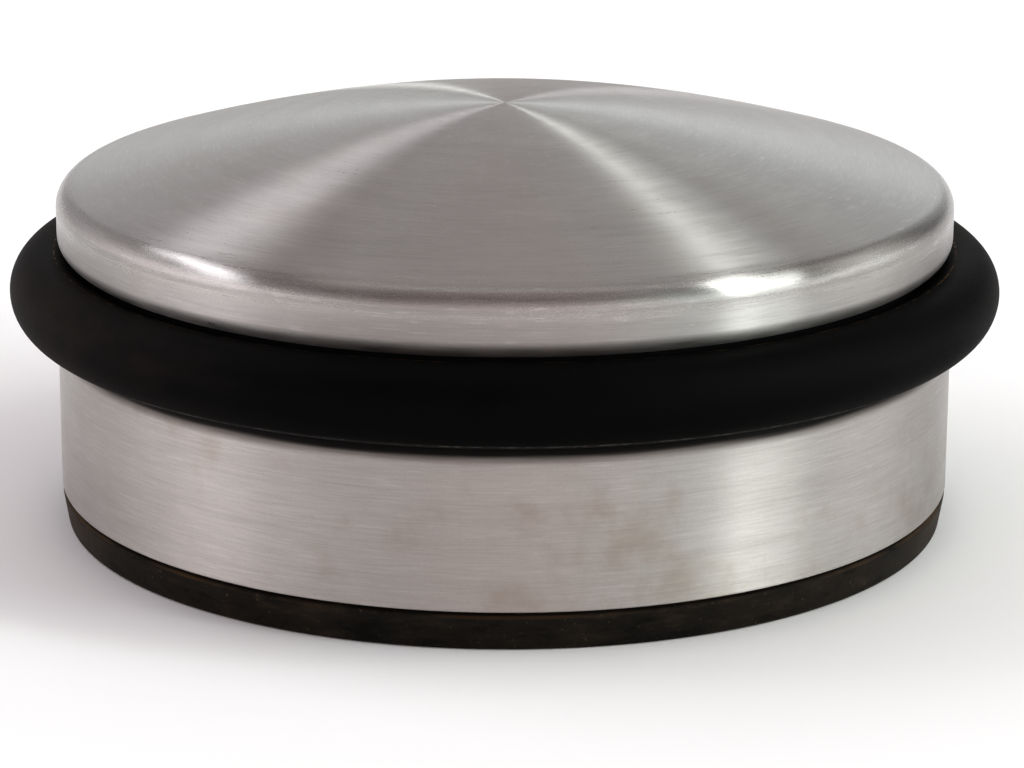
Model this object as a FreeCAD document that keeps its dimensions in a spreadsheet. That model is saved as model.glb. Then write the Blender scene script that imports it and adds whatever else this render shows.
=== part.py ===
"""Weighted floor door stop: a low round stainless body with a rubber bumper ring.

A ballast disc sits inside a drawn stainless sleeve on a steel base plate. A moulded
collar stands on the sleeve's top flange and makes the groove that the bumper ring is
stretched into. A domed stainless cap, closed by a steel plate that its rolled lip holds,
stands on the collar. One countersunk screw from below clamps the whole stack, and a
rubber pad, stuck on with a sheet of tape, covers the screw.

Frame: +Z up, the origin at the centre of the pad's underside, millimetres.
"""

import FreeCAD, Part

import math
import os

import Sketcher

doc = FreeCAD.newDocument("FloorDoorStop")

# ------------------------------------------------------------------ driving dimensions
sheet = doc.addObject("Spreadsheet::Sheet", "Dims")

DIMENSIONS = [
    # alias, value, meaning
    ("BodyRadius", 50.0, "outside radius of the sleeve"),
    ("PadFootRadius", 49.35, "pad radius at the floor"),
    ("PadTopRadius", 50.0, "pad radius at its top edge"),
    ("PadHeight", 3.9, "thickness of the rubber pad"),
    ("PadEdge", 0.5, "edge rounding of the pad"),
    ("TapeRadius", 48.4, "radius of the adhesive sheet"),
    ("TapeHeight", 0.3, "thickness of the adhesive sheet"),
    ("SleeveWall", 1.0, "sheet thickness of the sleeve"),
    ("SleeveCorner", 1.2, "outside rounding of the sleeve's top corner"),
    ("SleeveHeight", 18.0, "height of the sleeve"),
    ("SleeveHole", 30.0, "radius of the hole in the sleeve's top flange"),
    ("SleeveEdge", 0.2, "broken outside edge at the sleeve's foot"),
    ("PlateHeight", 2.0, "thickness of the base plate"),
    ("CoreRadius", 48.8, "radius of the ballast disc"),
    ("CoreChamfer", 1.5, "edge chamfer of the ballast disc"),
    ("CoreBore", 4.5, "screw clearance radius in the ballast"),
    ("CorePocket", 30.0, "outer radius of the cast recess under the ballast"),
    ("CoreHub", 14.0, "radius of the boss left around the ballast's bore"),
    ("CorePocketDepth", 2.5, "depth of the cast recess"),
    ("NeckRadius", 46.8, "radius of the ring seat"),
    ("NeckBore", 41.5, "inside radius of the collar's rim"),
    ("NeckHub", 10.0, "outside radius of the collar's hub"),
    ("NeckHole", 4.4, "screw clearance radius in the collar"),
    ("NeckWeb", 2.0, "thickness of the collar's web"),
    ("NeckSpigotGap", 0.1, "radial play of the collar's spigots"),
    ("RibWidth", 3.0, "thickness of a collar rib"),
    ("RibCount", 8, "number of collar ribs"),
    ("GrooveHeight", 8.6, "height of the ring groove"),
    ("RingCentre", 50.85, "radius of the ring's section centre"),
    ("RingRise", 4.3, "height of the section centre above the sleeve"),
    ("RingSection", 4.4, "radius of the ring's section"),
    ("CapRadius", 49.9, "outside radius of the cap"),
    ("CapWall", 1.0, "sheet thickness of the cap"),
    ("LipRadius", 2.0, "outside radius of the rolled lip"),
    ("LipHole", 44.0, "radius of the opening inside the lip"),
    ("ShoulderRadius", 2.5, "outside radius of the cap's shoulder"),
    ("DomeCrown", 125.0, "radius of the dome's crown"),
    ("DomeBlend", 22.0, "radius where the crown meets the outer dome"),
    ("DomeOuter", 215.0, "radius of the outer dome"),
    ("Height", 46.5, "overall height"),
    ("CapPlateRadius", 48.6, "radius of the plate inside the cap"),
    ("CapPlateHeight", 2.0, "thickness of the plate inside the cap"),
    ("CapPlateChamfer", 1.1, "lower edge chamfer of that plate"),
    ("NutFlats", 14.0, "width across the weld nut's flats"),
    ("NutHeight", 6.5, "height of the weld nut's hexagon"),
    ("NutSpigot", 5.25, "radius of the weld nut's spigot"),
    ("NutSpigotDepth", 1.0, "depth of the weld nut's spigot"),
    ("NutChamfer", 0.9, "corner chamfer of the weld nut"),
    ("ScrewRadius", 4.0, "outside radius of the M8 thread"),
    ("ScrewLength", 35.0, "length of the screw with its head"),
    ("HeadRadius", 8.0, "radius of the countersunk head"),
    ("HeadLand", 0.3, "height of the head's cylindrical land"),
    ("HeadRecess", 0.2, "depth of the head below the plate's face"),
    ("SocketFlats", 5.0, "width across the head's hexagon socket"),
    ("SocketDepth", 2.8, "depth of the hexagon socket"),
    ("ScrewTip", 1.0, "chamfer of the screw's tip"),
]

sheet.set("A1", "alias")
sheet.set("B1", "value")
sheet.set("C1", "meaning")
for row, (alias, value, meaning) in enumerate(DIMENSIONS, start=2):
    sheet.set("A%d" % row, alias)
    sheet.set("B%d" % row, repr(value))
    sheet.setAlias("B%d" % row, alias)
    sheet.set("C%d" % row, meaning)
doc.recompute()


class Dim:
    """A length that carries both its value and the expression that drives it."""

    def __init__(self, value, text):
        self.value = float(value)
        self.text = text

    @staticmethod
    def of(other):
        if isinstance(other, Dim):
            return other
        return Dim(other, repr(float(other)))

    def __add__(self, other):
        o = Dim.of(other)
        return Dim(self.value + o.value, "(%s + %s)" % (self.text, o.text))

    __radd__ = __add__

    def __sub__(self, other):
        o = Dim.of(other)
        return Dim(self.value - o.value, "(%s - %s)" % (self.text, o.text))

    def __rsub__(self, other):
        return Dim.of(other) - self

    def __mul__(self, other):
        o = Dim.of(other)
        return Dim(self.value * o.value, "(%s * %s)" % (self.text, o.text))

    __rmul__ = __mul__

    def __truediv__(self, other):
        o = Dim.of(other)
        return Dim(self.value / o.value, "(%s / %s)" % (self.text, o.text))

    def root(self):
        return Dim(math.sqrt(self.value), "sqrt(%s)" % self.text)


def cell(alias):
    return Dim(sheet.get(alias), "Dims.%s" % alias)


ZERO = Dim(0.0, "0")

BodyRadius = cell("BodyRadius")
PadFootRadius = cell("PadFootRadius")
PadTopRadius = cell("PadTopRadius")
PadHeight = cell("PadHeight")
TapeHeight = cell("TapeHeight")
SleeveWall = cell("SleeveWall")
SleeveCorner = cell("SleeveCorner")
SleeveHeight = cell("SleeveHeight")
SleeveHole = cell("SleeveHole")
SleeveEdge = cell("SleeveEdge")
PlateHeight = cell("PlateHeight")
CoreRadius = cell("CoreRadius")
CoreChamfer = cell("CoreChamfer")
CoreBore = cell("CoreBore")
CorePocket = cell("CorePocket")
CoreHub = cell("CoreHub")
CorePocketDepth = cell("CorePocketDepth")
NeckRadius = cell("NeckRadius")
NeckBore = cell("NeckBore")
NeckHub = cell("NeckHub")
NeckHole = cell("NeckHole")
NeckWeb = cell("NeckWeb")
NeckSpigotGap = cell("NeckSpigotGap")
RibWidth = cell("RibWidth")
GrooveHeight = cell("GrooveHeight")
RingCentre = cell("RingCentre")
RingRise = cell("RingRise")
RingSection = cell("RingSection")
CapRadius = cell("CapRadius")
CapWall = cell("CapWall")
LipRadius = cell("LipRadius")
LipHole = cell("LipHole")
ShoulderRadius = cell("ShoulderRadius")
DomeCrown = cell("DomeCrown")
DomeBlend = cell("DomeBlend")
DomeOuter = cell("DomeOuter")
Height = cell("Height")
CapPlateRadius = cell("CapPlateRadius")
CapPlateHeight = cell("CapPlateHeight")
CapPlateChamfer = cell("CapPlateChamfer")
NutFlats = cell("NutFlats")
NutHeight = cell("NutHeight")
NutSpigot = cell("NutSpigot")
NutSpigotDepth = cell("NutSpigotDepth")
NutChamfer = cell("NutChamfer")
ScrewRadius = cell("ScrewRadius")
ScrewLength = cell("ScrewLength")
HeadRadius = cell("HeadRadius")
HeadLand = cell("HeadLand")
HeadRecess = cell("HeadRecess")
SocketFlats = cell("SocketFlats")
SocketDepth = cell("SocketDepth")
ScrewTip = cell("ScrewTip")

# levels of the stack, from the floor up
z_tape = PadHeight
z_base = z_tape + TapeHeight  # underside of the sleeve and the base plate
z_core = z_base + PlateHeight  # underside of the ballast
z_flange_top = z_base + SleeveHeight  # top of the sleeve's flange
z_flange = z_flange_top - SleeveWall  # top of the ballast
z_lip = z_flange_top + GrooveHeight  # underside of the cap's lip
z_plate = z_lip + CapWall  # underside of the plate in the cap
z_nut = z_plate + CapPlateHeight  # seat of the weld nut
z_ring = z_flange_top + RingRise  # centre of the ring's section
z_head = z_base + HeadRecess  # face of the screw's head
z_cone = z_head + HeadLand  # where the head's 90 degree cone starts


# ------------------------------------------------------------------------- helpers
def new_body(name):
    body = doc.addObject("PartDesign::Body", name)
    body.Label = name
    body.Placement = FreeCAD.Placement()
    return body


def plane(body, role):
    for feature in body.Origin.OriginFeatures:
        if feature.Role == role:
            return feature
    raise RuntimeError("no %s in %s" % (role, body.Name))


def new_sketch(body, name, role, offset=None):
    sketch = body.newObject("Sketcher::SketchObject", name)
    sketch.AttachmentSupport = (plane(body, role), [""])
    sketch.MapMode = "FlatFace"
    if offset is not None:
        sketch.AttachmentOffset = FreeCAD.Placement(
            FreeCAD.Vector(0, 0, offset.value), FreeCAD.Rotation()
        )
        sketch.setExpression("AttachmentOffset.Base.z", offset.text)
    return sketch


def drive(sketch, index, dim):
    """Bind one dimensional constraint of a sketch to its expression."""
    sketch.setExpression("Constraints[%d]" % index, dim.text)


def pin(sketch, geo, pos, x, y):
    """Fix a sketch point at (x, y) with driven constraints from the origin."""
    if abs(x.value) < 1e-12:
        sketch.addConstraint(Sketcher.Constraint("PointOnObject", geo, pos, -2))
    else:
        i = sketch.addConstraint(
            Sketcher.Constraint("DistanceX", -1, 1, geo, pos, x.value)
        )
        drive(sketch, i, x)
    if abs(y.value) < 1e-12:
        sketch.addConstraint(Sketcher.Constraint("PointOnObject", geo, pos, -1))
    else:
        i = sketch.addConstraint(
            Sketcher.Constraint("DistanceY", -1, 1, geo, pos, y.value)
        )
        drive(sketch, i, y)


def outline(sketch, start, steps):
    """Closed outline of lines and arcs.

    start is the first point. A step is ("line", point) or ("arc", point, centre,
    radius, turn), where turn is +1 for an arc that runs anticlockwise. The last step
    comes back to start. Every corner and every radius is a driven constraint.
    """
    here = start
    first = None
    last = None
    for step in steps:
        to = step[1]
        ax, ay = here[0].value, here[1].value
        bx, by = to[0].value, to[1].value
        if step[0] == "line":
            geo = sketch.addGeometry(
                Part.LineSegment(
                    FreeCAD.Vector(ax, ay, 0), FreeCAD.Vector(bx, by, 0)
                ),
                False,
            )
            begin, end = 1, 2
            radius = None
        else:
            cx, cy = step[2][0].value, step[2][1].value
            radius, turn = step[3], step[4]
            a0 = math.atan2(ay - cy, ax - cx)
            a1 = math.atan2(by - cy, bx - cx)
            if turn < 0:
                a0, a1 = a1, a0
            while a1 <= a0:
                a1 += 2 * math.pi
            circle = Part.Circle(
                FreeCAD.Vector(cx, cy, 0), FreeCAD.Vector(0, 0, 1), radius.value
            )
            geo = sketch.addGeometry(Part.ArcOfCircle(circle, a0, a1), False)
            begin, end = (1, 2) if turn > 0 else (2, 1)
        if last is None:
            first = (geo, begin)
        else:
            sketch.addConstraint(
                Sketcher.Constraint("Coincident", last[0], last[1], geo, begin)
            )
        pin(sketch, geo, begin, here[0], here[1])
        if radius is not None:
            i = sketch.addConstraint(
                Sketcher.Constraint("Radius", geo, radius.value)
            )
            drive(sketch, i, radius)
        last = (geo, end)
        here = to
    sketch.addConstraint(
        Sketcher.Constraint("Coincident", last[0], last[1], first[0], first[1])
    )


def corners(sketch, points):
    """Closed polygon through driven corner points."""
    outline(
        sketch, points[0], [("line", p) for p in points[1:]] + [("line", points[0])]
    )


def hexagon(sketch, flats):
    """Hexagon round the origin with two corners on the sketch's X axis."""
    side = flats / Dim(3.0, "3").root()  # also the distance to a corner
    half = side / 2
    reach = flats / 2
    corners(
        sketch,
        [
            (side, ZERO),
            (half, reach),
            (ZERO - half, reach),
            (ZERO - side, ZERO),
            (ZERO - half, ZERO - reach),
            (half, ZERO - reach),
        ],
    )


def spin(body, sketch, name, kind="PartDesign::Revolution"):
    """Turn a profile drawn on the XZ plane all the way round the Z axis."""
    turned = body.newObject(kind, name)
    turned.Profile = sketch
    turned.ReferenceAxis = (sketch, ["V_Axis"])
    turned.Angle = 360.0
    turned.Reversed = False
    sketch.Visibility = False
    doc.recompute()
    return turned


def circle_edge(feature, radius, height):
    """Name of the round edge of a feature with this radius at this height."""
    for i, edge in enumerate(feature.Shape.Edges, start=1):
        curve = edge.Curve
        if not hasattr(curve, "Radius") or not hasattr(curve, "Center"):
            continue
        if abs(curve.Radius - radius) < 1e-4 and abs(curve.Center.z - height) < 1e-4:
            return "Edge%d" % i
    raise RuntimeError("no edge of radius %.3f at %.3f" % (radius, height))


def must_remove(before, feature, what):
    """A cut that takes nothing away shows no error, so its volume is compared."""
    if not feature.Shape.Volume < before - 1e-3:
        raise RuntimeError("%s removed nothing" % what)


# ------------------------------------------------------------------- base pad
# Rubber disc on the floor, a little narrower at its foot, with rounded edges.
base_pad = new_body("base_pad")
pad_profile = new_sketch(base_pad, "pad_profile", "XZ_Plane")
corners(
    pad_profile,
    [
        (ZERO, ZERO),
        (PadFootRadius, ZERO),
        (PadTopRadius, PadHeight),
        (ZERO, PadHeight),
    ],
)
pad_turned = spin(base_pad, pad_profile, "pad_turned")
pad_edges = base_pad.newObject("PartDesign::Fillet", "pad_edges")
pad_edges.Base = (
    pad_turned,
    [
        circle_edge(pad_turned, PadFootRadius.value, 0.0),
        circle_edge(pad_turned, PadTopRadius.value, PadHeight.value),
    ],
)
pad_edges.Radius = sheet.get("PadEdge")
pad_edges.setExpression("Radius", "Dims.PadEdge")
doc.recompute()

# ------------------------------------------------------------------- adhesive sheet
# Double-sided sheet between the pad and the base plate. It stops short of the edge,
# which leaves the fine dark line between pad and sleeve.
pad_tape = new_body("pad_tape")
tape_sketch = new_sketch(pad_tape, "tape_sketch", "XY_Plane", z_tape)
tape_circle = tape_sketch.addGeometry(
    Part.Circle(
        FreeCAD.Vector(0, 0, 0), FreeCAD.Vector(0, 0, 1), sheet.get("TapeRadius")
    ),
    False,
)
tape_sketch.addConstraint(Sketcher.Constraint("Coincident", tape_circle, 3, -1, 1))
tape_radius = tape_sketch.addConstraint(
    Sketcher.Constraint("Radius", tape_circle, sheet.get("TapeRadius"))
)
tape_sketch.setExpression("Constraints[%d]" % tape_radius, "Dims.TapeRadius")
tape_sheet = pad_tape.newObject("PartDesign::Pad", "tape_sheet")
tape_sheet.Profile = tape_sketch
tape_sheet.Length = TapeHeight.value
tape_sheet.setExpression("Length", TapeHeight.text)
tape_sketch.Visibility = False
doc.recompute()

# ------------------------------------------------------------------- base plate
# Steel disc inside the foot of the sleeve. Its centre hole is countersunk from below.
base_plate = new_body("base_plate")
plate_profile = new_sketch(base_plate, "plate_profile", "XZ_Plane")
plate_hole_top = HeadRadius - (z_core - z_cone)
corners(
    plate_profile,
    [
        (HeadRadius, z_base),
        (BodyRadius - SleeveWall, z_base),
        (BodyRadius - SleeveWall, z_core),
        (plate_hole_top, z_core),
        (HeadRadius, z_cone),
    ],
)
plate_turned = spin(base_plate, plate_profile, "plate_turned")

# ------------------------------------------------------------------- sleeve
# Drawn stainless shell: a straight wall, a rounded top corner and an inward flange.
sleeve = new_body("sleeve")
sleeve_profile = new_sketch(sleeve, "sleeve_profile", "XZ_Plane")
inner_corner = SleeveCorner - SleeveWall
corner_centre = (BodyRadius - SleeveCorner, z_flange_top - SleeveCorner)
outline(
    sleeve_profile,
    (BodyRadius - SleeveWall, z_base),
    [
        ("line", (BodyRadius - SleeveEdge, z_base)),
        (
            "arc",
            (BodyRadius, z_base + SleeveEdge),
            (BodyRadius - SleeveEdge, z_base + SleeveEdge),
            SleeveEdge,
            1,
        ),
        ("line", (BodyRadius, z_flange_top - SleeveCorner)),
        (
            "arc",
            (BodyRadius - SleeveCorner, z_flange_top),
            corner_centre,
            SleeveCorner,
            1,
        ),
        ("line", (SleeveHole, z_flange_top)),
        ("line", (SleeveHole, z_flange)),
        ("line", (BodyRadius - SleeveCorner, z_flange)),
        (
            "arc",
            (BodyRadius - SleeveWall, z_flange_top - SleeveCorner),
            corner_centre,
            inner_corner,
            -1,
        ),
        ("line", (BodyRadius - SleeveWall, z_base)),
    ],
)
sleeve_turned = spin(sleeve, sleeve_profile, "sleeve_turned")

# ------------------------------------------------------------------- ballast
# Cast iron disc that gives the stop its weight. The bore is countersunk to carry on the
# cone of the base plate's hole, and a ring-shaped recess is cast into the underside.
core_weight = new_body("core_weight")
core_profile = new_sketch(core_weight, "core_profile", "XZ_Plane")
z_cone_end = z_core + (plate_hole_top - CoreBore)
corners(
    core_profile,
    [
        (plate_hole_top, z_core),
        (CoreRadius - CoreChamfer, z_core),
        (CoreRadius, z_core + CoreChamfer),
        (CoreRadius, z_flange - CoreChamfer),
        (CoreRadius - CoreChamfer, z_flange),
        (CoreBore, z_flange),
        (CoreBore, z_cone_end),
    ],
)
core_turned = spin(core_weight, core_profile, "core_turned")
recess_profile = new_sketch(core_weight, "recess_profile", "XZ_Plane")
recess_top = z_core + CorePocketDepth
corners(
    recess_profile,
    [
        (CoreHub, z_core),
        (CorePocket, z_core),
        (CorePocket - CorePocketDepth / 4, recess_top),
        (CoreHub + CorePocketDepth / 4, recess_top),
    ],
)
core_volume = core_turned.Shape.Volume
core_recess = spin(core_weight, recess_profile, "core_recess", "PartDesign::Groove")
must_remove(core_volume, core_recess, "the ballast's recess")

# ------------------------------------------------------------------- neck collar
# Moulded collar with a rim, a web, a hub and ribs. Its rim is the seat of the bumper
# ring. One spigot centres it in the sleeve's flange, the other in the cap's lip.
neck_collar = new_body("neck_collar")
neck_profile = new_sketch(neck_collar, "neck_profile", "XZ_Plane")
spigot_low = SleeveHole - NeckSpigotGap
spigot_high = LipHole - NeckSpigotGap
web_top = z_flange_top + NeckWeb
corners(
    neck_profile,
    [
        (NeckHole, z_flange),
        (spigot_low, z_flange),
        (spigot_low, z_flange_top),
        (NeckRadius, z_flange_top),
        (NeckRadius, z_lip),
        (spigot_high, z_lip),
        (spigot_high, z_plate),
        (NeckBore, z_plate),
        (NeckBore, web_top),
        (NeckHub, web_top),
        (NeckHub, z_plate),
        (NeckHole, z_plate),
    ],
)
neck_turned = spin(neck_collar, neck_profile, "neck_turned")
rib_sketch = new_sketch(neck_collar, "rib_sketch", "XY_Plane", web_top)
rib_inner = NeckHub - 0.5
rib_outer = NeckBore + 0.5
corners(
    rib_sketch,
    [
        (rib_inner, ZERO - RibWidth / 2),
        (rib_outer, ZERO - RibWidth / 2),
        (rib_outer, RibWidth / 2),
        (rib_inner, RibWidth / 2),
    ],
)
rib = neck_collar.newObject("PartDesign::Pad", "rib")
rib.Profile = rib_sketch
rib_height = z_plate - web_top
rib.Length = rib_height.value
rib.setExpression("Length", rib_height.text)
rib_sketch.Visibility = False
doc.recompute()
rib_volume = rib.Shape.Volume
ribs = neck_collar.newObject("PartDesign::PolarPattern", "ribs")
ribs.Originals = [rib]
ribs.Axis = (rib_sketch, ["N_Axis"])
ribs.Angle = 360.0
ribs.Occurrences = int(sheet.get("RibCount"))
ribs.setExpression("Occurrences", "Dims.RibCount")
neck_collar.Tip = ribs
doc.recompute()
if not ribs.Shape.Volume > rib_volume + 100.0:
    raise RuntimeError("the ribs were not repeated")

# ------------------------------------------------------------------- bumper ring
# Rubber ring of round section. It is stretched over the collar, which flattens the
# inside of the section against the seat.
bumper_ring = new_body("bumper_ring")
ring_profile = new_sketch(bumper_ring, "ring_profile", "XZ_Plane")
reach = RingCentre - NeckRadius
half_flat = (RingSection * RingSection - reach * reach).root()
outline(
    ring_profile,
    (NeckRadius, z_ring - half_flat),
    [
        (
            "arc",
            (NeckRadius, z_ring + half_flat),
            (RingCentre, z_ring),
            RingSection,
            1,
        ),
        ("line", (NeckRadius, z_ring - half_flat)),
    ],
)
ring_turned = spin(bumper_ring, ring_profile, "ring_turned")

# ------------------------------------------------------------------- cap shell
# Drawn stainless cap: a low dome of two tangent arcs, a tight shoulder, a short straight
# side and a lip that is rolled inwards under the cap's plate.
cap_shell = new_body("cap_shell")
cap_profile = new_sketch(cap_shell, "cap_profile", "XZ_Plane")
crown_centre = (ZERO, Height - DomeCrown)
blend_sine = DomeBlend / DomeCrown
blend_cosine = (Dim(1.0, "1") - blend_sine * blend_sine).root()
blend_point = (DomeBlend, crown_centre[1] + DomeCrown * blend_cosine)
outer_centre = (
    DomeBlend - DomeOuter * blend_sine,
    blend_point[1] - DomeOuter * blend_cosine,
)
shoulder_x = CapRadius - ShoulderRadius
shoulder_dx = shoulder_x - outer_centre[0]
shoulder_reach = DomeOuter - ShoulderRadius
shoulder_z = (
    outer_centre[1]
    + (shoulder_reach * shoulder_reach - shoulder_dx * shoulder_dx).root()
)
shoulder_centre = (shoulder_x, shoulder_z)
shoulder_dz = shoulder_z - outer_centre[1]
edge_sine = shoulder_dx / shoulder_reach
edge_cosine = shoulder_dz / shoulder_reach
dome_edge = (
    outer_centre[0] + DomeOuter * edge_sine,
    outer_centre[1] + DomeOuter * edge_cosine,
)
lip_centre = (CapRadius - LipRadius, z_lip + LipRadius)
inner_crown = DomeCrown - CapWall
inner_outer = DomeOuter - CapWall
inner_shoulder = ShoulderRadius - CapWall
inner_lip = LipRadius - CapWall
outline(
    cap_profile,
    (LipHole, z_lip),
    [
        ("line", (CapRadius - LipRadius, z_lip)),
        ("arc", (CapRadius, z_lip + LipRadius), lip_centre, LipRadius, 1),
        ("line", (CapRadius, shoulder_z)),
        ("arc", dome_edge, shoulder_centre, ShoulderRadius, 1),
        ("arc", blend_point, outer_centre, DomeOuter, 1),
        ("arc", (ZERO, Height), crown_centre, DomeCrown, 1),
        ("line", (ZERO, Height - CapWall)),
        (
            "arc",
            (inner_crown * blend_sine, crown_centre[1] + inner_crown * blend_cosine),
            crown_centre,
            inner_crown,
            -1,
        ),
        (
            "arc",
            (
                outer_centre[0] + inner_outer * edge_sine,
                outer_centre[1] + inner_outer * edge_cosine,
            ),
            outer_centre,
            inner_outer,
            -1,
        ),
        (
            "arc",
            (CapRadius - CapWall, shoulder_z),
            shoulder_centre,
            inner_shoulder,
            -1,
        ),
        ("line", (CapRadius - CapWall, z_lip + LipRadius)),
        ("arc", (CapRadius - LipRadius, z_plate), lip_centre, inner_lip, -1),
        ("line", (LipHole, z_plate)),
        ("line", (LipHole, z_lip)),
    ],
)
cap_turned = spin(cap_shell, cap_profile, "cap_turned")

# ------------------------------------------------------------------- cap plate
# Steel disc that the rolled lip holds in the cap. It carries the nut.
cap_plate = new_body("cap_plate")
cap_plate_profile = new_sketch(cap_plate, "cap_plate_profile", "XZ_Plane")
corners(
    cap_plate_profile,
    [
        (NutSpigot, z_plate),
        (CapPlateRadius - CapPlateChamfer, z_plate),
        (CapPlateRadius, z_plate + CapPlateChamfer),
        (CapPlateRadius, z_nut),
        (NutSpigot, z_nut),
    ],
)
cap_plate_turned = spin(cap_plate, cap_plate_profile, "cap_plate_turned")

# ------------------------------------------------------------------- weld nut
# Hexagonal weld nut: its spigot drops into the plate's hole.
weld_nut = new_body("weld_nut")
nut_sketch = new_sketch(weld_nut, "nut_sketch", "XY_Plane", z_nut)
hexagon(nut_sketch, NutFlats)
nut_hexagon = weld_nut.newObject("PartDesign::Pad", "nut_hexagon")
nut_hexagon.Profile = nut_sketch
nut_hexagon.Length = NutHeight.value
nut_hexagon.setExpression("Length", NutHeight.text)
nut_sketch.Visibility = False
doc.recompute()
nut_corner = NutFlats / Dim(3.0, "3").root()
z_nut_top = z_nut + NutHeight
nut_bevel_profile = new_sketch(weld_nut, "nut_bevel_profile", "XZ_Plane")
corners(
    nut_bevel_profile,
    [
        (nut_corner - NutChamfer, z_nut_top + 1.0),
        (nut_corner + 1.0, z_nut_top + 1.0),
        (nut_corner + 1.0, z_nut_top - NutChamfer / 2 - 0.5),
        (nut_corner - NutChamfer, z_nut_top + NutChamfer * 0.0),
    ],
)
nut_volume = nut_hexagon.Shape.Volume
nut_bevel = spin(weld_nut, nut_bevel_profile, "nut_bevel", "PartDesign::Groove")
must_remove(nut_volume, nut_bevel, "the nut's bevel")
nut_spigot_profile = new_sketch(weld_nut, "nut_spigot_profile", "XZ_Plane")
corners(
    nut_spigot_profile,
    [
        (ZERO, z_nut - NutSpigotDepth),
        (NutSpigot, z_nut - NutSpigotDepth),
        (NutSpigot, z_nut + 0.5),
        (ZERO, z_nut + 0.5),
    ],
)
nut_spigot = spin(weld_nut, nut_spigot_profile, "nut_spigot")
nut_bore_sketch = new_sketch(weld_nut, "nut_bore_sketch", "XY_Plane", z_nut_top)
nut_bore_circle = nut_bore_sketch.addGeometry(
    Part.Circle(FreeCAD.Vector(0, 0, 0), FreeCAD.Vector(0, 0, 1), ScrewRadius.value),
    False,
)
nut_bore_sketch.addConstraint(
    Sketcher.Constraint("Coincident", nut_bore_circle, 3, -1, 1)
)
nut_bore_radius = nut_bore_sketch.addConstraint(
    Sketcher.Constraint("Radius", nut_bore_circle, ScrewRadius.value)
)
nut_bore_sketch.setExpression("Constraints[%d]" % nut_bore_radius, ScrewRadius.text)
spigot_volume = nut_spigot.Shape.Volume
nut_bore = weld_nut.newObject("PartDesign::Pocket", "nut_bore")
nut_bore.Profile = nut_bore_sketch
nut_bore.Type = "ThroughAll"
nut_bore.Reversed = False
nut_bore_sketch.Visibility = False
doc.recompute()
must_remove(spigot_volume, nut_bore, "the nut's bore")

# ------------------------------------------------------------------- tie screw
# M8 countersunk socket screw, head down. The thread is its outside cylinder.
tie_screw = new_body("tie_screw")
screw_profile = new_sketch(tie_screw, "screw_profile", "XZ_Plane")
z_neck = z_cone + (HeadRadius - ScrewRadius)
z_tip = z_head + ScrewLength
corners(
    screw_profile,
    [
        (ZERO, z_head),
        (HeadRadius, z_head),
        (HeadRadius, z_cone),
        (ScrewRadius, z_neck),
        (ScrewRadius, z_tip - ScrewTip),
        (ScrewRadius - ScrewTip, z_tip),
        (ZERO, z_tip),
    ],
)
screw_turned = spin(tie_screw, screw_profile, "screw_turned")
socket_sketch = new_sketch(tie_screw, "socket_sketch", "XY_Plane", z_head)
hexagon(socket_sketch, SocketFlats)
screw_volume = screw_turned.Shape.Volume
socket = tie_screw.newObject("PartDesign::Pocket", "socket")
socket.Profile = socket_sketch
socket.Type = "Length"
socket.Length = SocketDepth.value
socket.setExpression("Length", SocketDepth.text)
socket.Reversed = True  # upwards, into the head
socket_sketch.Visibility = False
doc.recompute()
must_remove(screw_volume, socket, "the screw's socket")

# ------------------------------------------------------------------- check and write
doc.recompute()

for obj in doc.Objects:
    if "Invalid" in obj.State or "Error" in obj.State:
        raise RuntimeError("%s is in state %s" % (obj.Name, obj.State))

pieces = [
    base_pad,
    pad_tape,
    base_plate,
    sleeve,
    core_weight,
    neck_collar,
    bumper_ring,
    cap_shell,
    cap_plate,
    weld_nut,
    tie_screw,
]
for piece in pieces:
    shape = piece.Shape
    if shape.isNull() or not shape.isValid() or len(shape.Solids) != 1:
        raise RuntimeError("%s is not one valid solid" % piece.Label)

os.makedirs("parts", exist_ok=True)
for piece in pieces:
    piece.Shape.exportStep(os.path.join("parts", "%s.step" % piece.Label))
    box = piece.Shape.BoundBox
    print(
        "%-12s %9.1f mm3   x %.2f..%.2f   z %.2f..%.2f"
        % (
            piece.Label,
            piece.Shape.Volume,
            box.XMin,
            box.XMax,
            box.ZMin,
            box.ZMax,
        )
    )
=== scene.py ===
import math

import bpy
import numpy as np
from mathutils import Matrix, Quaternion, Vector


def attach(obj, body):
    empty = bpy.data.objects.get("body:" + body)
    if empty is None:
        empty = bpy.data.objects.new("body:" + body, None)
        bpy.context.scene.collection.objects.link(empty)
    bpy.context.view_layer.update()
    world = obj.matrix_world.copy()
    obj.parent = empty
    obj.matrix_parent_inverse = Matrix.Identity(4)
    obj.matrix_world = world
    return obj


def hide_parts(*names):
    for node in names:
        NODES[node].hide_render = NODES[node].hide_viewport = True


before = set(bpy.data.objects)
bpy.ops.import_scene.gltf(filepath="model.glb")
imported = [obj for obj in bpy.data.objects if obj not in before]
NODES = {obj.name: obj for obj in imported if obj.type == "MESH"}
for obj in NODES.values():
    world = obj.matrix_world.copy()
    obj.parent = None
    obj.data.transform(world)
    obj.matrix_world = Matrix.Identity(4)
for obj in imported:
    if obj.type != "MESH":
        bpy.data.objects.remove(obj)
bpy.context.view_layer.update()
MM = 0.001


# ------------------------------------------------------------------ lathe geometry
# A profile is a list of runs. A run is a list of (radius, height, normal_r, normal_z), in
# millimetres. Runs that join with equal normals are smooth, others meet in a crease.
def straight(a, b, n=1):
    """A straight run from a to b, its normal to the right of the direction of travel."""
    a, b = np.array(a, float), np.array(b, float)
    d = (b - a) / np.linalg.norm(b - a)
    nr, nz = d[1], -d[0]
    return [(*(a + (b - a) * i / n), nr, nz) for i in range(n + 1)]


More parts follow.
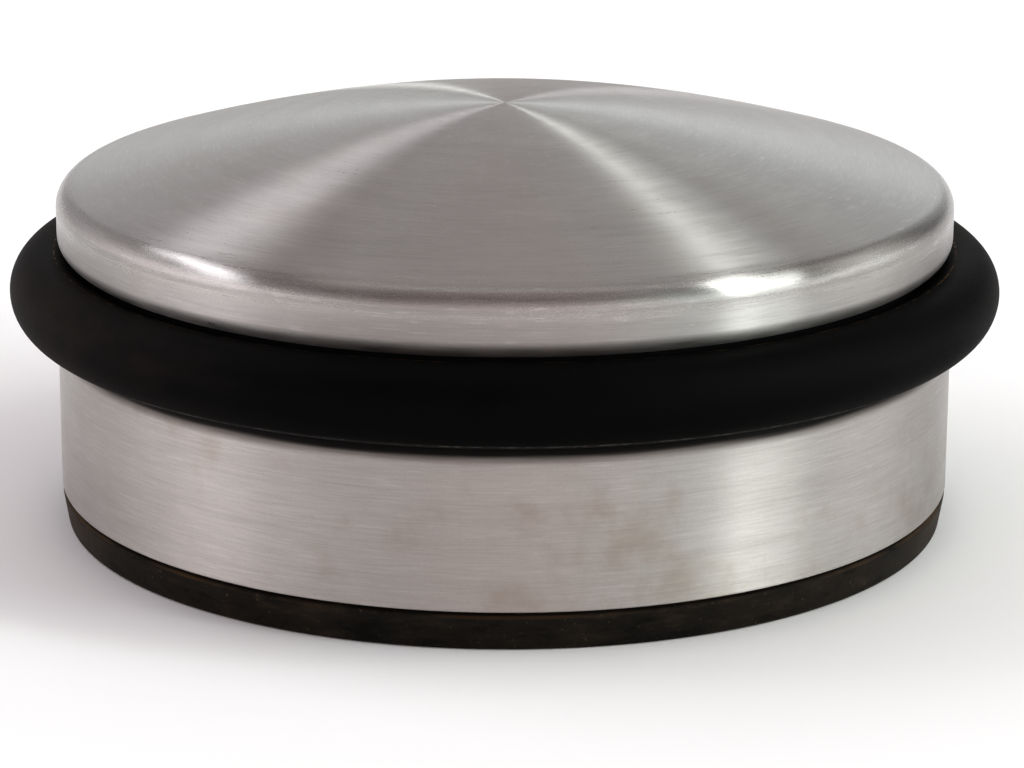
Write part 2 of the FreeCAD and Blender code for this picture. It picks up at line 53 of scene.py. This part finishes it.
def arc(centre, radius, start, end, n, out=1.0):
    """An arc from start to end, in degrees. out is -1 where the solid is outside it."""
    run = []
    for i in range(n + 1):
        t = math.radians(start + (end - start) * i / n)
        c, s = math.cos(t), math.sin(t)
        run.append((centre[0] + radius * c, centre[1] + radius * s, out * c, out * s))
    return run


def lathe(name, runs, segments=360, closed=True, wobble=None):
    """A closed solid of revolution with exact normals. wobble(angle) adds to radii."""
    rows, quads = [], []
    for run in runs:
        for i, p in enumerate(run):
            here = (p[0], p[1])
            if rows and i == 0:
                last = rows[-1]
                if math.hypot(last[0] - here[0], last[1] - here[1]) > 1e-6:
                    raise RuntimeError("%s: the runs don't meet at %s" % (name, here))
            else:
                rows.append(here)
            index = len(rows) - 1
            if i:
                quads.append((index - 1, index, run[i - 1][2:], p[2:]))
    if closed:
        if math.hypot(rows[0][0] - rows[-1][0], rows[0][1] - rows[-1][1]) > 1e-6:
            raise RuntimeError("%s: the profile isn't closed" % name)
        rows.pop()
        a, b, na, nb = quads[-1]
        quads[-1] = (a, 0, na, nb)
    theta = np.arange(segments) * (2 * math.pi / segments)
    ct, st = np.cos(theta), np.sin(theta)
    first, verts = [], []
    for r, z in rows:
        first.append(len(verts))
        if r < 1e-9:
            verts.append((0.0, 0.0, z * MM))
            continue
        rr = np.full(segments, r)
        if wobble is not None:
            rr = rr + wobble(theta, r, z)
        verts.extend(zip(rr * ct * MM, rr * st * MM, np.full(segments, z * MM)))
    faces, normals = [], []
    for a, b, na, nb in quads:
        pa, pb = rows[a], rows[b]
        d = (pb[0] - pa[0], pb[1] - pa[1])
        # outward when the normal lies to the right of the direction of travel
        flip = (d[1] * (na[0] + nb[0]) - d[0] * (na[1] + nb[1])) < 0
        for k in range(segments):
            k2 = (k + 1) % segments
            ring = []
            if pa[0] < 1e-9:
                ring = [(first[a], na, k), (first[b] + k2, nb, k2), (first[b] + k, nb, k)]
            elif pb[0] < 1e-9:
                ring = [(first[a] + k, na, k), (first[a] + k2, na, k2), (first[b], nb, k)]
            else:
                ring = [
                    (first[a] + k, na, k),
                    (first[a] + k2, na, k2),
                    (first[b] + k2, nb, k2),
                    (first[b] + k, nb, k),
                ]
            if flip:
                ring.reverse()
            faces.append([v for v, _, _ in ring])
            for _, n, kk in ring:
                normals.append((n[0] * ct[kk], n[0] * st[kk], n[1]))
    mesh = bpy.data.meshes.new(name)
    mesh.from_pydata([tuple(map(float, v)) for v in verts], [], faces)
    mesh.update()
    mesh.polygons.foreach_set("use_smooth", [True] * len(mesh.polygons))
    mesh.normals_split_custom_set([tuple(map(float, n)) for n in normals])
    mesh.update()
    piece = bpy.data.objects.new(name, mesh)
    bpy.context.scene.collection.objects.link(piece)
    return piece


# ------------------------------------------------------------------ node helpers
class Tree:
    """Small helper that keeps material code readable."""

    def __init__(self, name):
        self.material = bpy.data.materials.new(name)
        self.material.use_nodes = True
        self.nt = self.material.node_tree
        self.nt.nodes.clear()
        self.out = self.nt.nodes.new("ShaderNodeOutputMaterial")
        self.bsdf = self.nt.nodes.new("ShaderNodeBsdfPrincipled")
        self.nt.links.new(self.bsdf.outputs[0], self.out.inputs[0])

    def link(self, a, b):
        self.nt.links.new(a, b)

    def node(self, kind, **props):
        n = self.nt.nodes.new(kind)
        for k, v in props.items():
            setattr(n, k, v)
        return n

    def put(self, socket, value):
        if hasattr(value, "is_linked") or hasattr(value, "links"):
            self.nt.links.new(value, socket)
        else:
            socket.default_value = value

    def math(self, op, a, b=None, c=None, clamp=False):
        n = self.node("ShaderNodeMath", operation=op)
        n.use_clamp = clamp
        self.put(n.inputs[0], a)
        if b is not None:
            self.put(n.inputs[1], b)
        if c is not None:
            self.put(n.inputs[2], c)
        return n.outputs[0]

    def vector(self, x, y, z):
        n = self.node("ShaderNodeCombineXYZ")
        for i, v in enumerate((x, y, z)):
            self.put(n.inputs[i], v)
        return n.outputs[0]

    def noise(self, vector, scale, detail=2.0, rough=0.5, distortion=0.0, kind="3D"):
        n = self.node("ShaderNodeTexNoise", noise_dimensions=kind)
        self.put(n.inputs["Vector"], vector)
        n.inputs["Scale"].default_value = scale
        n.inputs["Detail"].default_value = detail
        n.inputs["Roughness"].default_value = rough
        n.inputs["Distortion"].default_value = distortion
        return n.outputs["Fac"]

    def span(self, value, a, b, c, d, smooth=False):
        """value mapped from a..b to c..d, clamped."""
        n = self.node("ShaderNodeMapRange")
        n.interpolation_type = "SMOOTHSTEP" if smooth else "LINEAR"
        self.put(n.inputs["Value"], value)
        for key, v in (("From Min", a), ("From Max", b), ("To Min", c), ("To Max", d)):
            self.put(n.inputs[key], v)
        return n.outputs["Result"]

    def mix(self, factor, a, b, blend="MIX"):
        n = self.node("ShaderNodeMix", data_type="RGBA", blend_type=blend)
        self.put(n.inputs[0], factor)
        for s, v in ((n.inputs[6], a), (n.inputs[7], b)):
            if isinstance(v, tuple):
                s.default_value = (*v, 1.0) if len(v) == 3 else v
            else:
                self.nt.links.new(v, s)
        return n.outputs[2]

    def bump(self, height, distance, strength=1.0, normal=None):
        n = self.node("ShaderNodeBump")
        n.inputs["Strength"].default_value = strength
        n.inputs["Distance"].default_value = distance
        self.nt.links.new(height, n.inputs["Height"])
        if normal is not None:
            self.nt.links.new(normal, n.inputs["Normal"])
        return n.outputs[0]

    def position(self):
        """Object coordinates in millimetres, with the radius and the unit direction."""
        co = self.node("ShaderNodeTexCoord").outputs["Object"]
        scaled = self.node("ShaderNodeVectorMath", operation="SCALE")
        self.link(co, scaled.inputs[0])
        scaled.inputs["Scale"].default_value = 1000.0
        split = self.node("ShaderNodeSeparateXYZ")
        self.link(scaled.outputs[0], split.inputs[0])
        x, y, z = split.outputs
        flat = self.math("ADD", self.math("MULTIPLY", x, x), self.math("MULTIPLY", y, y))
        r = self.math("SQRT", self.math("MAXIMUM", flat, 1e-4))
        return (
            scaled.outputs[0],
            x,
            y,
            z,
            r,
            self.math("DIVIDE", x, r),
            self.math("DIVIDE", y, r),
        )


# ------------------------------------------------------------------ brushed stainless
SHOULDER_ROUGH = 0.27


def brushed_steel(name, kind, colour, dark, rough, edge_rough, aniso, grain):
    """Satin stainless with brushing that runs round the body.

    kind is "cap" or "wall". A cap has a turned face, a coarser satin from its
    shoulder down (edge_rough) and a painted dark reflection on its shoulder, and a wall
    has grime and painted shade under the bumper ring.
    """
    t = Tree(name)
    p, x, y, z, r, cx, cy = t.position()
    across = t.math("SUBTRACT", r, z) if kind == "cap" else z

    def streaks(turns, width, detail=2.0, shift=0.0):
        # turns sets how short a scratch is, width its size across in millimetres
        v = t.vector(
            t.math("MULTIPLY_ADD", cx, turns, shift),
            t.math("MULTIPLY_ADD", cy, turns, shift * 0.37),
            t.math("DIVIDE", across, width),
        )
        return t.noise(v, 1.0, detail, 0.55)

    def centred(value, gain):
        return t.math("MULTIPLY", t.math("SUBTRACT", value, 0.5), gain)

    edge = t.span(z, 35.6, 34.2, 0.0, 1.0, True) if kind == "cap" else None
    fine = streaks(9.0, 0.17, 1.0)
    hair = streaks(17.0, 0.13, 0.0, 5.3)
    coarse = streaks(4.0, 0.62, 1.5, 11.0)
    broad = streaks(1.6, 3.2, 2.0, 23.0)
    cloud = t.noise(p, 0.06, 3.0, 0.55)
    patch = t.noise(p, 0.21, 3.0, 0.6)
    speck = t.noise(p, 3.6, 2.0, 0.6)

    scratch = t.span(hair, 0.63, 0.74, 0.0, 1.0, True)
    tone = t.math("ADD", centred(fine, 0.55), centred(coarse, 0.45))
    tone = t.math("ADD", tone, centred(broad, 0.45))
    tone = t.math("ADD", tone, centred(cloud, 0.5))
    tone = t.math("ADD", tone, centred(speck, 0.35))
    tone = t.math("MULTIPLY_ADD", scratch, 0.14, tone)
    tone = t.math("ADD", tone, 0.57, clamp=True)
    base = t.mix(tone, dark, colour)
    stain_at = t.math("MULTIPLY_ADD", patch, 0.45, t.math("MULTIPLY", cloud, 0.55))
    stain = t.span(stain_at, 0.50, 0.68, 0.0, 0.45 if kind == "wall" else 0.16, True)
    base = t.mix(stain, base, (0.335, 0.285, 0.235))
    if edge is not None:
        # the shoulder band is darkened towards black: a painted dark reflection along the shoulder
        painted_dark_reflection = t.math("MULTIPLY", t.span(z, 38.6, 37.9, 0.0, 1.0, True), t.span(z, 35.2, 36.1, 0.0, 0.13, True))
        base = t.mix(painted_dark_reflection, base, (0.0, 0.0, 0.0))
    grime_and_painted_shade = None
    if kind == "wall":
        # darker and browner just under the bumper ring: rubber grime together with painted shade from the ring
        ragged = t.math("ADD", z, centred(coarse, 0.5))
        grime_and_painted_shade = t.span(ragged, 19.7, 21.3, 0.0, 0.93, True)
        base = t.mix(grime_and_painted_shade, base, (0.035, 0.022, 0.014))
        # a thin near-black line right under the ring: a painted contact shadow
        base = t.mix(t.span(ragged, 20.6, 21.15, 0.0, 1.0, True), base, (0.004, 0.0034, 0.003))
    t.link(base, t.bsdf.inputs["Base Color"])

    if edge is not None:
        # the turned face, then a smoother shoulder, then the satin side and lip
        finish = t.span(z, 38.7, 37.7, rough, SHOULDER_ROUGH, True)
        finish = t.math("ADD", finish, t.span(edge, 0.0, 1.0, 0.0, edge_rough - SHOULDER_ROUGH))
    else:
        finish = rough
    rr = t.math("ADD", finish, centred(coarse, 0.07))
    rr = t.math("ADD", rr, centred(fine, 0.045))
    rr = t.math("ADD", rr, centred(speck, 0.05))
    rr = t.math("ADD", rr, centred(cloud, 0.07))
    rr = t.math("MULTIPLY_ADD", scratch, -0.05, rr)
    if grime_and_painted_shade is not None:
        rr = t.math("MULTIPLY_ADD", grime_and_painted_shade, 0.25, rr)
    t.link(t.math("MAXIMUM", rr, 0.05), t.bsdf.inputs["Roughness"])

    t.bsdf.inputs["Metallic"].default_value = 1.0
    if grime_and_painted_shade is not None:
        t.link(t.math("SUBTRACT", 1.0, grime_and_painted_shade), t.bsdf.inputs["Metallic"])
    t.bsdf.inputs["Anisotropic"].default_value = aniso
    t.bsdf.inputs["Anisotropic Rotation"].default_value = 0.25
    tangent = t.node("ShaderNodeTangent", direction_type="RADIAL", axis="Z")
    t.link(tangent.outputs[0], t.bsdf.inputs["Tangent"])

    height = t.math("MULTIPLY_ADD", coarse, 0.7, fine)
    height = t.math("MULTIPLY_ADD", scratch, 0.25, height)
    normal = t.bump(height, grain * MM)
    gain = 0.0014 if edge is None else 0.0026
    pits = t.math("MULTIPLY", speck, t.math("MULTIPLY_ADD", edge, 0.6, 0.4)) if edge else speck
    t.link(t.bump(pits, gain * MM, 1.0, normal), t.bsdf.inputs["Normal"])
    return t.material


def rubber(name, kind, colour, dusty, rough, grain_mm, grain_depth):
    """Moulded rubber. kind is "ring" or "pad"."""
    t = Tree(name)
    p, x, y, z, r, cx, cy = t.position()
    cloud = t.noise(p, 0.09, 4.0, 0.6)
    skin = t.noise(p, 1.0 / grain_mm, 3.0, 0.6)
    flecks = t.noise(p, 2.3, 2.0, 0.5)
    smear = t.noise(
        t.vector(
            t.math("MULTIPLY", cx, 5.0),
            t.math("MULTIPLY", cy, 5.0),
            t.math("MULTIPLY", z, 0.22),
        ),
        1.0,
        3.0,
        0.6,
    )
    dust = t.span(cloud, 0.38, 0.72, 0.0, 0.7, True)
    if kind == "ring":
        # most of the dust sits on one side, a little at the other end
        side = t.math(
            "ADD",
            t.span(cx, -0.35, -0.95, 0.06, 1.0, True),
            t.span(cx, 0.93, 1.0, 0.0, 0.5, True),
        )
        dust = t.math("MULTIPLY", t.span(smear, 0.30, 0.72, 0.05, 1.0, True), side)
    base = t.mix(dust, colour, dusty)
    if kind == "ring":
        # moulding lines near the top and low on the outside, worn in places; the low line is also lighter as a
        # painted highlight along the lower edge
        broken = t.span(
            t.noise(t.vector(t.math("MULTIPLY", cx, 38.0), t.math("MULTIPLY", cy, 38.0), z), 1.0, 3.0, 0.7),
            0.47,
            0.60,
            0.0,
            1.0,
            True,
        )
        off = t.math("ABSOLUTE", t.math("SUBTRACT", r, 50.28))
        line = t.math(
            "MULTIPLY",
            t.span(off, 0.05, 0.13, 1.0, 0.0),
            t.math("GREATER_THAN", z, 29.0),
        )
        base = t.mix(t.math("MULTIPLY", line, broken), base, (0.13, 0.085, 0.045))
        # the low line: a moulding line, painted lighter as the highlight along the ring's lower edge
        off = t.math("ABSOLUTE", t.math("SUBTRACT", z, 22.87))
        line = t.math(
            "MULTIPLY",
            t.span(off, 0.07, 0.15, 1.0, 0.0),
            t.math("GREATER_THAN", r, 51.0),
        )
        base = t.mix(
            t.math("MULTIPLY", line, t.math("MULTIPLY_ADD", broken, 0.6, 0.25)),
            base,
            (0.105, 0.10, 0.093),
        )
    else:
        round_ = (t.math("MULTIPLY", cx, 8.0), t.math("MULTIPLY", cy, 8.0))
        soil = t.noise(t.vector(*round_, t.math("MULTIPLY", z, 0.55)), 1.0, 4.0, 0.68)
        base = t.mix(t.span(soil, 0.49, 0.70, 0.0, 0.85, True), base, (0.038, 0.029, 0.020))
        base = t.mix(t.span(soil, 0.47, 0.32, 0.0, 0.85, True), base, (0.0065, 0.0068, 0.0058))
        lint = t.span(flecks, 0.66, 0.76, 0.0, 0.35, True)
        base = t.mix(lint, base, (0.16, 0.12, 0.08))
        rim = t.math("MULTIPLY", t.span(z, 3.45, 3.62, 0.0, 1.0), t.span(z, 3.88, 3.80, 0.0, 1.0))
        rim = t.math("MULTIPLY", rim, t.span(smear, 0.42, 0.64, 0.0, 0.65))
        base = t.mix(rim, base, (0.080, 0.048, 0.025))
    t.link(base, t.bsdf.inputs["Base Color"])
    rr = t.math("MULTIPLY_ADD", t.math("SUBTRACT", skin, 0.5), 0.18, rough)
    rr = t.math("MULTIPLY_ADD", t.math("SUBTRACT", smear, 0.5), 0.20, rr)
    t.link(rr, t.bsdf.inputs["Roughness"])
    t.bsdf.inputs["Specular IOR Level"].default_value = 0.09 if kind == "ring" else 0.16
    if kind == "pad":
        # fine dust shows at a grazing angle
        t.bsdf.inputs["Sheen Weight"].default_value = 0.11
        t.bsdf.inputs["Sheen Roughness"].default_value = 0.35
        t.bsdf.inputs["Sheen Tint"].default_value = (1.0, 0.86, 0.78, 1.0)
    height = t.math("MULTIPLY_ADD", flecks, 0.5, skin)
    t.link(t.bump(height, grain_depth * MM), t.bsdf.inputs["Normal"])
    return t.material


def simple(name, colour, second, rough, metallic, scale, depth, detail=4.0, spread=0.2):
    """Hidden pieces: cast, moulded, plated or machined finish from layered noise."""
    t = Tree(name)
    p, x, y, z, r, cx, cy = t.position()
    n1 = t.noise(p, scale, detail, 0.6)
    n2 = t.noise(p, 0.12, 2.0, 0.5)
    base = t.mix(t.span(n1, 0.3, 0.7, 0.0, 1.0), colour, second)
    base = t.mix(t.span(n2, 0.3, 0.8, 0.0, 0.35), base, second)
    t.link(base, t.bsdf.inputs["Base Color"])
    t.link(
        t.math("MULTIPLY_ADD", t.math("SUBTRACT", n1, 0.5), spread, rough),
        t.bsdf.inputs["Roughness"],
    )
    t.bsdf.inputs["Metallic"].default_value = metallic
    t.link(t.bump(n1, depth * MM), t.bsdf.inputs["Normal"])
    return t.material


# ------------------------------------------------------------------ the visible shells
BODY_R, FOOT_R, PAD_TOP_R = 50.0, 49.35, 50.0
PAD_Z, SLEEVE_Z = 3.9, 4.2
FLANGE_Z, LIP_Z, TOP_Z = 22.2, 30.8, 46.5
RING_R, RING_Z, RING_S, NECK_R = 50.85, 26.5, 4.365, 46.8
CAP_R, CAP_T, LIP, SHOULDER = 49.9, 1.0, 2.0, 2.5
CROWN, BLEND, OUTER = 125.0, 22.0, 215.0

# Cap: two tangent dome arcs, the shoulder, the side, the rolled lip, then the inside.
sine = BLEND / CROWN
cosine = math.sqrt(1 - sine * sine)
crown_c = (0.0, TOP_Z - CROWN)
blend_p = (BLEND, crown_c[1] + CROWN * cosine)
outer_c = (BLEND - OUTER * sine, blend_p[1] - OUTER * cosine)
sx = CAP_R - SHOULDER
sdx, reach = sx - outer_c[0], OUTER - SHOULDER
sz = outer_c[1] + math.sqrt(reach * reach - sdx * sdx)
edge_deg = math.degrees(math.atan2(sz - outer_c[1], sdx))
blend_deg = math.degrees(math.atan2(cosine, sine))
lip_c = (CAP_R - LIP, LIP_Z + LIP)

cap_runs = [
    arc(crown_c, CROWN, 90.0, blend_deg, 22),
    arc(outer_c, OUTER, blend_deg, edge_deg, 22),
    arc((sx, sz), SHOULDER, edge_deg, 0.0, 16),
    straight((CAP_R, sz), (CAP_R, LIP_Z + LIP), 4),
    arc(lip_c, LIP, 0.0, -90.0, 14),
    straight((CAP_R - LIP, LIP_Z), (44.0, LIP_Z), 2),
    straight((44.0, LIP_Z), (44.0, LIP_Z + CAP_T), 1),
    straight((44.0, LIP_Z + CAP_T), (CAP_R - LIP, LIP_Z + CAP_T), 2),
    arc(lip_c, LIP - CAP_T, -90.0, 0.0, 10, -1.0),
    straight((CAP_R - CAP_T, LIP_Z + LIP), (CAP_R - CAP_T, sz), 3),
    arc((sx, sz), SHOULDER - CAP_T, 0.0, edge_deg, 10, -1.0),
    arc(outer_c, OUTER - CAP_T, edge_deg, blend_deg, 14, -1.0),
    arc(crown_c, CROWN - CAP_T, blend_deg, 90.0, 14, -1.0),
]
# the runs travel from the apex down, so a straight run's normal is on its left there
for i in (3, 5, 6, 7, 9):
    cap_runs[i] = [(a, b, -c, -d) for a, b, c, d in cap_runs[i]]
for i, run in enumerate(cap_runs):
    cap_runs[i] = [
        (0.0 if abs(a) < 1e-7 else a, b, c, d) for a, b, c, d in run
    ]
cap = lathe("cap_dome", cap_runs, 384, closed=False)

sleeve_runs = [
    straight((BODY_R - 1.0, SLEEVE_Z), (BODY_R - 0.2, SLEEVE_Z)),
    arc((BODY_R - 0.2, SLEEVE_Z + 0.2), 0.2, -90.0, 0.0, 5),
    straight((BODY_R, SLEEVE_Z + 0.2), (BODY_R, FLANGE_Z - 1.2), 8),
    arc((BODY_R - 1.2, FLANGE_Z - 1.2), 1.2, 0.0, 90.0, 12),
    straight((BODY_R - 1.2, FLANGE_Z), (30.0, FLANGE_Z), 3),
    straight((30.0, FLANGE_Z), (30.0, FLANGE_Z - 1.0)),
    straight((30.0, FLANGE_Z - 1.0), (BODY_R - 1.2, FLANGE_Z - 1.0), 3),
    arc((BODY_R - 1.2, FLANGE_Z - 1.2), 0.2, 90.0, 0.0, 4, -1.0),
    straight((BODY_R - 1.0, FLANGE_Z - 1.2), (BODY_R - 1.0, SLEEVE_Z), 3),
]
sleeve = lathe("sleeve_shell", sleeve_runs, 384)

half = math.sqrt(RING_S**2 - (RING_R - NECK_R) ** 2)
a0 = math.degrees(math.atan2(half, RING_R - NECK_R))
ring_runs = [
    arc((RING_R, RING_Z), RING_S, -(180.0 - a0), 180.0 - a0, 56),
    straight((NECK_R, RING_Z + half), (NECK_R, RING_Z - half), 4),
]
ring = lathe("rubber_bumper_ring", ring_runs, 384)

pad_edge = 0.5
slope = math.degrees(math.atan2(PAD_TOP_R - FOOT_R, PAD_Z))
wall = np.array([math.cos(math.radians(slope)), -math.sin(math.radians(slope))])


def pad_corner(z, up):
    """Centre of the rounding between the tapered wall and a flat face."""
    zc = z - pad_edge if up else z + pad_edge
    x_wall = FOOT_R + (PAD_TOP_R - FOOT_R) * zc / PAD_Z
    return (x_wall - pad_edge / wall[0], zc)


low_c, high_c = pad_corner(0.0, False), pad_corner(PAD_Z, True)
pad_runs = [
    straight((0.0, 0.0), (low_c[0], 0.0), 12),
    arc(low_c, pad_edge, -90.0, -slope, 8),
    straight(
        tuple(np.array(low_c) + pad_edge * wall),
        tuple(np.array(high_c) + pad_edge * wall),
        4,
    ),
    arc(high_c, pad_edge, -slope, 90.0, 8),
    straight((high_c[0], PAD_Z), (0.0, PAD_Z), 12),
]
pad = lathe("rubber_base_pad", pad_runs, 384, closed=False)

# ------------------------------------------------------------------ materials
cap.data.materials.append(
    brushed_steel(
        "cap_stainless",
        "cap",
        (0.495, 0.48, 0.465),
        (0.33, 0.315, 0.304),
        0.34,
        0.34,
        1.0,
        0.003,
    )
)
sleeve.data.materials.append(
    brushed_steel(
        "sleeve_stainless",
        "wall",
        (0.515, 0.495, 0.476),
        (0.347, 0.322, 0.306),
        0.37,
        0.37,
        0.95,
        0.003,
    )
)
ring.data.materials.append(
    rubber(
        "ring_rubber", "ring", (0.0030, 0.0030, 0.0031), (0.022, 0.017, 0.0138), 0.58, 0.3, 0.006
    )
)
pad.data.materials.append(
    rubber("pad_rubber", "pad", (0.0150, 0.0130, 0.0105), (0.027, 0.022, 0.016), 0.72, 0.25, 0.012)
)

steel_plate = simple(
    "zinc_plated_steel", (0.60, 0.62, 0.64), (0.48, 0.50, 0.53), 0.36, 1.0, 1.6, 0.004
)
hidden = {
    "base_plate": steel_plate,
    "cap_plate": steel_plate,
    "core_weight": simple(
        "cast_iron_skin", (0.10, 0.095, 0.09), (0.17, 0.16, 0.15), 0.62, 0.7, 1.2, 0.05
    ),
    "neck_collar": simple(
        "moulded_nylon", (0.018, 0.018, 0.019), (0.03, 0.03, 0.031), 0.5, 0.0, 2.2, 0.01
    ),
    "pad_tape": simple(
        "tape_sheet", (0.02, 0.02, 0.02), (0.035, 0.034, 0.033), 0.8, 0.0, 1.4, 0.02
    ),
    "weld_nut": simple(
        "bare_steel_nut", (0.50, 0.50, 0.49), (0.38, 0.37, 0.36), 0.42, 1.0, 1.0, 0.01
    ),
    "tie_screw": simple(
        "black_oxide_steel", (0.06, 0.06, 0.063), (0.10, 0.10, 0.105), 0.4, 0.9, 1.5, 0.005
    ),
}
for name, material in hidden.items():
    node = NODES[name]
    node.data.materials.clear()
    node.data.materials.append(material)

for piece, node, slot in (
    (cap, "cap_shell", "cap_stainless"),
    (sleeve, "sleeve", "sleeve_stainless"),
    (ring, "bumper_ring", "ring_rubber"),
    (pad, "base_pad", "pad_rubber"),
):
    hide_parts(node)
    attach(piece, "root")

# ------------------------------------------------------------------ stage and light
floor_mesh = bpy.data.meshes.new("floor")
S = 20.0
floor_mesh.from_pydata(
    [(-S, -S, 0), (S, -S, 0), (S, S, 0), (-S, S, 0)], [], [(0, 1, 2, 3)]
)
floor = bpy.data.objects.new("floor", floor_mesh)
bpy.context.scene.collection.objects.link(floor)
ft = Tree("pale_floor")
ft.bsdf.inputs["Base Color"].default_value = (0.93, 0.93, 0.93, 1)
ft.bsdf.inputs["Roughness"].default_value = 0.9
ft.bsdf.inputs["Specular IOR Level"].default_value = 0.1
# Far out the floor glows a little, so that it meets the sky without a line.
ft.bsdf.inputs["Emission Color"].default_value = (1.0, 1.0, 1.0, 1)
far = ft.span(ft.position()[4], 1800.0, 9000.0, 0.0, 0.30)
ft.link(far, ft.bsdf.inputs["Emission Strength"])
floor.data.materials.append(ft.material)
floor.location.z = -0.00002

# Sky: soft glows near the horizon, a paler back wall and a faint ceiling. A glow is
# (azimuth from the front in degrees, falloff power, falloff in degrees of height, colour).
GLOWS = [
    (11.8, 2.23, 15.3, (2.279, 1.995, 1.972)),
    (-74.1, 5.05, 6.7, (4.721, 4.399, 4.520)),
    (92.5, 7.29, 5.0, (5.493, 5.638, 5.625)),
    (50.3, 11.71, 24.6, (0.855, 1.122, 1.114)),
    (180.0, 1.00, 2.2, (0.400, 0.400, 0.400)),
]
# A patch is (azimuth, height, tightness, colour).
PATCHES = [
    (172.2, 20.7, 13.7, (0.819, 0.860, 0.864)),
    (-114.6, 8.5, 3.0, (0.667, 0.652, 0.663)),
    (111.3, 27.5, 25.6, (1.135, 1.150, 1.120)),
]
EVEN = (0.000, 0.000, 0.002)
BACK_WALL = (0.016, 0.002, 0.002)
CEILING = (0.421, 0.342, 0.344)

world = bpy.data.worlds.new("studio")
bpy.context.scene.world = world
world.use_nodes = True
wt = Tree.__new__(Tree)
wt.nt = world.node_tree
wt.nt.nodes.clear()
sky_out = wt.node("ShaderNodeOutputWorld")
sky = wt.node("ShaderNodeBackground")
wt.link(sky.outputs[0], sky_out.inputs[0])
way = wt.node("ShaderNodeTexCoord").outputs["Generated"]
way_split = wt.node("ShaderNodeSeparateXYZ")
wt.link(way, way_split.inputs[0])
wx, wy, wz = way_split.outputs
flat = wt.math(
    "SQRT",
    wt.math(
        "MAXIMUM",
        wt.math("ADD", wt.math("MULTIPLY", wx, wx), wt.math("MULTIPLY", wy, wy)),
        1e-6,
    ),
)
height = wt.math("MULTIPLY", wt.math("ARCSINE", wt.math("ABSOLUTE", wz)), 180 / math.pi)
total = None


def add_sky(factor, colour):
    global total
    n = wt.node("ShaderNodeVectorMath", operation="SCALE")
    n.inputs[0].default_value = colour
    wt.link(factor, n.inputs["Scale"])
    if total is None:
        total = n.outputs[0]
        return
    m = wt.node("ShaderNodeVectorMath", operation="ADD")
    wt.link(total, m.inputs[0])
    wt.link(n.outputs[0], m.inputs[1])
    total = m.outputs[0]


for glow_az, power, fall, colour in GLOWS:
    gx, gy = math.sin(math.radians(glow_az)), -math.cos(math.radians(glow_az))
    toward = wt.math(
        "DIVIDE",
        wt.math("ADD", wt.math("MULTIPLY", wx, gx), wt.math("MULTIPLY", wy, gy)),
        flat,
    )
    lobe = wt.math("POWER", wt.math("MAXIMUM", toward, 0.0), power)
    drop = wt.math("EXPONENT", wt.math("MULTIPLY", height, -1.0 / fall))
    add_sky(wt.math("MULTIPLY", lobe, drop), colour)
for patch_az, patch_el, tight, colour in PATCHES:
    pa, pe = math.radians(patch_az), math.radians(patch_el)
    dot = wt.node("ShaderNodeVectorMath", operation="DOT_PRODUCT")
    wt.link(way, dot.inputs[0])
    dot.inputs[1].default_value = (
        math.sin(pa) * math.cos(pe),
        -math.cos(pa) * math.cos(pe),
        math.sin(pe),
    )
    apart = wt.math("SUBTRACT", 1.0, dot.outputs["Value"])
    add_sky(wt.math("EXPONENT", wt.math("MULTIPLY", apart, -tight)), colour)
add_sky(wt.math("ADD", wt.math("MULTIPLY", wz, 0.0), 1.0), EVEN)
add_sky(wt.math("MAXIMUM", wy, 0.0), BACK_WALL)
add_sky(wt.math("POWER", wt.math("ABSOLUTE", wz), 4.0), CEILING)
wt.link(total, sky.inputs["Color"])

# Softboxes: azimuth from the front, height and roll in degrees, width and height as a
# share of the distance, and radiance.
SOFTBOXES = [
    ("softbox_right", 74.3, 30.5, -23.3, 0.343, 0.850, (2.05, 2.19, 2.13)),
    ("strip_right", 71.6, 41.8, -27.1, 0.135, 0.749, (5.88, 6.11, 5.97)),
    ("softbox_left", -85.6, 34.0, -35.0, 0.547, 0.197, (1.59, 1.61, 1.70)),
    ("strip_left", -114.5, 44.9, 3.5, 0.697, 0.161, (2.63, 2.65, 2.76)),
    ("softbox_top", 142.0, 77.3, 29.8, 1.130, 0.361, (0.58, 0.66, 0.65)),
]
centre = Vector((0.0, 0.0, 0.0))
AWAY = 9.0
for name, az, el, roll, wide, tall, radiance in SOFTBOXES:
    az, el, roll = (math.radians(v) for v in (az, el, roll))
    c = Vector(
        (math.sin(az) * math.cos(el), -math.cos(az) * math.cos(el), math.sin(el))
    )
    e1 = Vector((0, 0, 1)).cross(c).normalized()
    e2 = c.cross(e1)
    f1 = math.cos(roll) * e1 + math.sin(roll) * e2
    f2 = -math.sin(roll) * e1 + math.cos(roll) * e2
    light = bpy.data.lights.new(name, "AREA")
    light.shape = "RECTANGLE"
    light.size, light.size_y = wide * AWAY, tall * AWAY
    peak = max(radiance)
    light.color = [v / peak for v in radiance]
    light.energy = peak * math.pi * light.size * light.size_y
    o = bpy.data.objects.new(name, light)
    turn = Matrix((f1, f2, c)).transposed()
    o.matrix_world = Matrix.Translation(centre + c * AWAY) @ turn.to_4x4()
    bpy.context.scene.collection.objects.link(o)

# ------------------------------------------------------------------ camera
cam_data = bpy.data.cameras.new("camera")
cam_data.sensor_width = 36.0
cam_data.lens = 138.67
cam_data.clip_start, cam_data.clip_end = 0.01, 80.0
camera = bpy.data.objects.new("camera", cam_data)
camera.location = (0.0, -0.428959, 0.139086)
camera.rotation_mode = "QUATERNION"
camera.rotation_quaternion = Quaternion((0.8000059, 0.5999879, -0.0019917, 0.0010444))
bpy.context.scene.collection.objects.link(camera)
bpy.context.scene.camera = camera
bpy.context.scene.view_settings.view_transform = "Standard"
bpy.context.scene.view_settings.look = "High Contrast"
